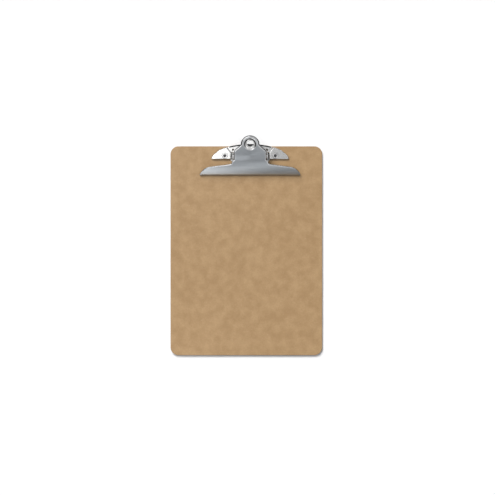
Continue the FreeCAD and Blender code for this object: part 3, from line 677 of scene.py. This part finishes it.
def spring_route():
    """Middle of the right half's wire: foot, coil, leg, elbow and half of the bridge."""
    foot_angle, bridge_angle = leg_angle(FOOT, -1), leg_angle(BRIDGE, 1)
    sweep = WHOLE_TURNS * 2 * math.pi + (foot_angle - bridge_angle) % (2 * math.pi)
    turns = sweep / (2 * math.pi)
    route = [Vector((COIL_END, *FOOT))]
    steps = int(turns * STEPS_PER_TURN)
    for k in range(steps + 1):
        angle = foot_angle - sweep * k / steps
        x = COIL_END - COIL_PITCH * turns * k / steps
        route.append(Vector((x, COIL_RADIUS * math.cos(angle), COIL_RADIUS * math.sin(angle))))
    coil_start = COIL_END - COIL_PITCH * turns
    corner = Vector((coil_start, *BRIDGE))
    leg_end = corner.lerp(route[-1], WIRE / (corner - route[-1]).length)
    for k in range(ELBOW_STEPS + 1):
        angle = math.pi / 2 * k / ELBOW_STEPS
        along_leg = (leg_end - corner) * (1 - math.sin(angle))
        route.append(corner + along_leg + Vector((-WIRE * (1 - math.cos(angle)), 0, 0)))
    route.append(Vector((0, *BRIDGE)))
    return route, coil_start


def wire_mesh(points):
    """A round wire along points given in metres."""
    curve = bpy.data.curves.new("spring_route", "CURVE")
    curve.dimensions = "3D"
    curve.bevel_depth = WIRE / 2 * MM
    curve.bevel_resolution = 4
    curve.use_fill_caps = True
    spline = curve.splines.new("POLY")
    spline.points.add(len(points) - 1)
    for knot, point in zip(spline.points, points):
        knot.co = (*point, 1)
    carrier = new_object("spring_route", curve)
    graph = bpy.context.evaluated_depsgraph_get()
    mesh = bpy.data.meshes.new_from_object(carrier.evaluated_get(graph))
    bpy.data.objects.remove(carrier)
    return mesh


def spring_half(name, side, material):
    """One coil and half of the bridge, built at rest; on the real clip they wind up as the clamp
    turns about the pin.
    """
    route, coil_start = spring_route()
    mesh = wire_mesh([HINGE + Vector((side * p.x, p.y, p.z)) * MM for p in route])
    mesh.shade_smooth()
    half = new_piece(name, mesh, material)
    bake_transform(half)
    return half


# Pieces that keep the CAD's shape

EASE = 0.45                      # width of the rounds on the stamped plate's edges


def repaint(node, material):
    """Give a CAD node a finished material."""
    obj = frame["nodes"][node]
    for slot in obj.material_slots:
        slot.material = material
    if not obj.material_slots:
        obj.data.materials.append(material)


def in_fixed_order(made):
    """A bmesh's points and faces, in an order that is the same each run."""
    verts = sorted(made.verts, key=lambda vert: tuple(vert.co))
    number = {vert: i for i, vert in enumerate(verts)}
    faces = [[number[vert] for vert in face.verts] for face in made.faces]
    return [tuple(vert.co) for vert in verts], sorted(faces)


def eased_base_plate(material):
    """The base plate with every sharp edge eased, so that the edges catch the light."""
    made = bmesh.new()
    made.from_mesh(frame["nodes"]["base_plate"].data)
    bmesh.ops.remove_doubles(made, verts=made.verts, dist=0.002 * MM)
    bmesh.ops.dissolve_limit(made, angle_limit=math.radians(1.5), verts=made.verts,
                             edges=made.edges)
    sharp = [edge for edge in made.edges
             if len(edge.link_faces) == 2 and edge.calc_face_angle(0) > math.radians(32)]
    bmesh.ops.bevel(made, geom=sharp, offset=EASE * MM, segments=4, profile=0.5,
                    affect="EDGES", clamp_overlap=True)
    bmesh.ops.triangulate(made, faces=[f for f in made.faces if len(f.verts) > 4])
    points, faces = in_fixed_order(made)
    made.free()
    mesh = bpy.data.meshes.new("base_plate_eased")
    mesh.from_pydata(points, [], faces)
    mesh.shade_smooth()
    mesh.set_sharp_from_angle(angle=math.radians(50))
    plate = new_piece("base_plate_eased", mesh, material)
    shading = plate.modifiers.new("flat_faces_stay_flat", "WEIGHTED_NORMAL")
    shading.weight = 100
    shading.keep_sharp = True
    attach(plate, "root")
    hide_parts("base_plate")


# Studio, in metres

FLOOR_SIZE = 9.0
FLOOR_DROP = 0.2 * MM            # the floor lies this far under the board's back
FRAME_WIDTH = 0.7465             # what the camera sees across, at the board
CAMERA_PLACE = (0.00166, 0.00498)
SUN_FROM = (-0.55, 1.05, 1.0)

# Brightness of the dome against height, from 0 straight down to 1 straight up.
DOME_BELOW = [(0.0, 0.75), (0.485, 0.75), (0.50, 0.02)]
DOME_FRONT = DOME_BELOW + [(0.68, 0.03), (0.78, 0.42), (0.92, 0.40), (0.985, 0.51)]
DOME_BACK = DOME_BELOW + [(0.83, 0.02), (0.88, 1.0), (0.96, 0.95), (0.985, 0.51)]

# Cards that glow in reflections only: name, place, size, power, and what they face.
CARDS = (
    ("left_card", (-0.207, 0.22, 0.50), (0.36, 0.26), 0.50, (-0.207, 0.22, 0)),
    ("upper_card", (-0.45, 0.75, 0.55), (0.5, 0.4), 0.75, (0, 0.15, 0)),
    ("front_card", (-0.29, -0.17, 0.11), (0.5, 0.22), 0.58, (-0.29, 0.14, 0.06)),
    ("front_fill", (0.2, -1.2, 0.85), (2.4, 2.0), 6.2, (0, 0.12, 0)),
)


def floor():
    """A plain sheet, wide enough to reach past every view."""
    mesh = bpy.data.meshes.new("floor")
    corners = [(-1, -1), (1, -1), (1, 1), (-1, 1)]
    mesh.from_pydata([(x * FLOOR_SIZE, y * FLOOR_SIZE, -FLOOR_DROP) for x, y in corners], [],
                     [(0, 1, 2, 3)])
    new_piece("floor", mesh, floor_paper())


def dome():
    """Dark walls under a pale ceiling that is brighter away from the front, so that bends get
    white and dark lines, and light from below for when the back is looked at.
    """
    world = bpy.data.worlds.new("studio")
    world.use_nodes = True
    nodes, links = world.node_tree.nodes, world.node_tree.links
    split = nodes.new("ShaderNodeSeparateXYZ")
    links.new(nodes.new("ShaderNodeTexCoord").outputs["Generated"], split.inputs[0])
    height = nodes.new("ShaderNodeMapRange")
    height.inputs["From Min"].default_value = -1
    links.new(split.outputs["Z"], height.inputs["Value"])
    behind = nodes.new("ShaderNodeMapRange")
    behind.inputs["From Min"].default_value = -0.35
    behind.inputs["From Max"].default_value = -0.08
    links.new(split.outputs["Y"], behind.inputs["Value"])
    mix = nodes.new("ShaderNodeMix")
    mix.data_type = "RGBA"
    links.new(behind.outputs[0], mix.inputs[0])
    for socket, stops in ((6, DOME_FRONT), (7, DOME_BACK)):
        ramp = nodes.new("ShaderNodeValToRGB")
        links.new(height.outputs[0], ramp.inputs[0])
        elements = ramp.color_ramp.elements
        while len(elements) < len(stops):
            elements.new(0.5)
        for element, (place, glow) in zip(elements, stops):
            element.position = place
            element.color = (glow, glow, glow * 1.01, 1)
        links.new(ramp.outputs[0], mix.inputs[socket])
    links.new(mix.outputs[2], nodes["Background"].inputs["Color"])
    bpy.context.scene.world = world


def key_light():
    """A wide soft sun from the rear left, which casts the shadows but shows in no reflection."""
    sun = bpy.data.lights.new("key", "SUN")
    sun.energy = 3.5
    sun.angle = math.radians(35)
    key = new_object("key", sun)
    key.rotation_euler = turned_to(SUN_FROM, "Z")
    key.visible_glossy = False


def card(name, place, size, power, target):
    """A glowing card that only shows in reflections."""
    light = bpy.data.lights.new(name, "AREA")
    light.shape = "RECTANGLE"
    light.size, light.size_y = size
    light.energy = power
    glow = new_object(name, light)
    glow.location = place
    glow.rotation_euler = turned_to(Vector(target) - Vector(place), "-Z")
    glow.visible_diffuse = False
    glow.visible_camera = False


def camera():
    """A long lens straight above the board."""
    data = bpy.data.cameras.new("camera")
    data.lens = 450
    data.sensor_width = 36
    data.clip_end = 40
    eye = new_object("camera", data)
    distance = FRAME_WIDTH * data.lens / data.sensor_width
    eye.location = (*CAMERA_PLACE, BOARD_HIGH.z + distance)
    bpy.context.scene.camera = eye
    bpy.context.scene.view_settings.view_transform = "Standard"


def metal_parts():
    """Clamp, base plate, eyelet, rivets, pin and spring, each with its own metal."""
    bright_nickel = (0.80, 0.80, 0.79)
    repaint("hanging_eyelet", plated("nickel_plate", bright_nickel, 0.10, 0.10))
    for node in ("rivet_left", "rivet_right"):
        low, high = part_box(node)
        middle = ((low + high) / 2 - CLIP).xy / MM
        # Painted shade in the rivet's hollow middle.
        hollow_shade = (middle, 1.9, 0.35, 0.9)
        repaint(node, plated(node, (0.78, 0.78, 0.78), 0.17, 0.10, [hollow_shade]))
    repaint("hinge_pin", plated("pin_steel", (0.56, 0.56, 0.57), 0.24, 0.12))
    # Painted shade on the base plate under the lever, which shows through the eyelet.
    shade_under_lever = ((0, 0), 9, 8, 0.85)
    eased_base_plate(plated("plate_with_painted_shade", bright_nickel, 0.17, 0.10, [shade_under_lever],
                            paint_dark_edges=True))
    build_clamp(brushed_steel())
    wire = plated("spring_wire", (0.40, 0.41, 0.43), 0.26, 0.15)
    right_half = spring_half("spring_right", 1, wire)
    spring_half("spring_left", -1, wire)
    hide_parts("torsion_spring")


def studio():
    """Pale floor, soft lights and the camera."""
    floor()
    dome()
    key_light()
    for settings in CARDS:
        card(*settings)
    camera()


repaint("board", hardboard())
metal_parts()
studio()
